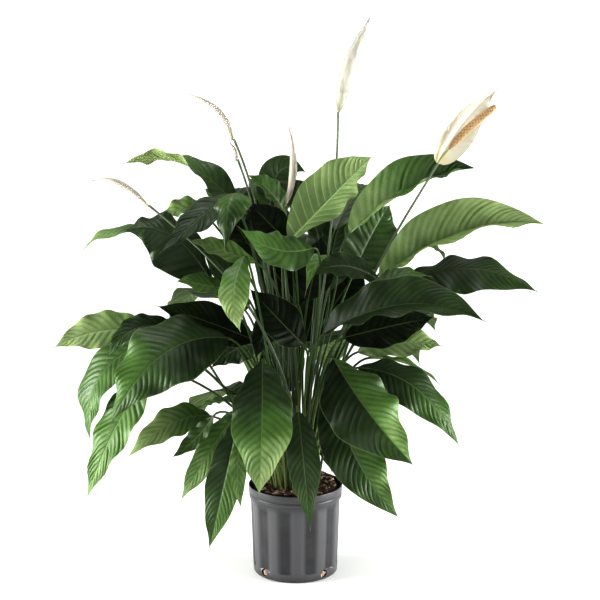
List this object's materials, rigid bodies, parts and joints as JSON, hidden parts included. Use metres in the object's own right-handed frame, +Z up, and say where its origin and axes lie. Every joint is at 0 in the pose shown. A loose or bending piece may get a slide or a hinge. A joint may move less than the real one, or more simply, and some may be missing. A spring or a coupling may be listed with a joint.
{
  "type": "potted peace lily",
  "caption": "Large peace lily with arching glossy leaves and cream flowers on long stalks, in a fluted grey nursery pot of bark compost.",
  "frame": {"origin": "centre of the pot's flat underside, where it stands", "axes": "+Z up, -Y towards the side that the picture shows, +X to that view's right"},
  "size_m": [0.8402, 0.569, 0.9734],
  "materials": {
    "pot": "satin moulded polypropylene",
    "compost": "rough bark chips",
    "leaf": "glossy, pleated along the side veins",
    "stalk": "smooth, slightly waxy",
    "spathe": "soft, waxy, faintly veined",
    "spadix": "fine bumps"
  },
  "bodies": {
    "root": {"arching_top_leaf": "leaf", "big_left_leaf": "leaf", "blue_back_leaf": "leaf", "bright_front_leaf": "leaf", "broad_left_leaf": "leaf", "broad_right_leaf": "leaf", "centre_bud_spadix": "spadix", "centre_bud_spathe": "spathe", "centre_bud_stalk": "stalk", "compost": "compost", "crossing_leaf": "leaf", "dark_left_leaf": "leaf", "drooping_left_leaf": "leaf", "far_left_leaf": "leaf", "front_leaf": "leaf", "front_right_leaf": "leaf", "grey_left_leaf": "leaf", "grey_right_leaf": "leaf", "high_right_leaf": "leaf", "hooded_leaf": "leaf", "inner_shoot": "leaf", "left_bud_spadix": "spadix", "left_bud_spathe": "spathe", "left_bud_stalk": "stalk", "lime_right_leaf": "leaf", "long_right_leaf": "leaf", "low_bud_spadix": "spadix", "low_bud_spathe": "spathe", "low_bud_stalk": "stalk", "low_fold_leaf": "leaf", "low_left_leaf": "leaf", "low_right_leaf": "leaf", "mid_left_leaf": "leaf", "narrow_left_leaf": "leaf", "nursery_pot": "pot", "open_flower_spadix": "spadix", "open_flower_spathe": "spathe", "open_flower_stalk": "stalk", "outer_left_leaf": "leaf", "outer_right_leaf": "leaf", "pale_left_leaf": "leaf", "pot_front_leaf": "leaf", "pot_left_leaf": "leaf", "rear_left_shoot": "leaf", "rear_right_shoot": "leaf", "side_right_leaf": "leaf", "slim_left_leaf": "leaf", "sliver_leaf": "leaf", "small_bud_spathe": "spathe", "small_bud_stalk": "stalk", "small_front_leaf": "leaf", "striped_left_leaf": "leaf", "tall_flower_spadix": "spadix", "tall_flower_spathe": "spathe", "tall_flower_stalk": "stalk", "top_leaf": "leaf", "twisted_left_leaf": "leaf", "under_right_leaf": "leaf", "upper_inner_leaf": "leaf", "yellow_left_leaf": "leaf"}
  },
  "joints": []
}
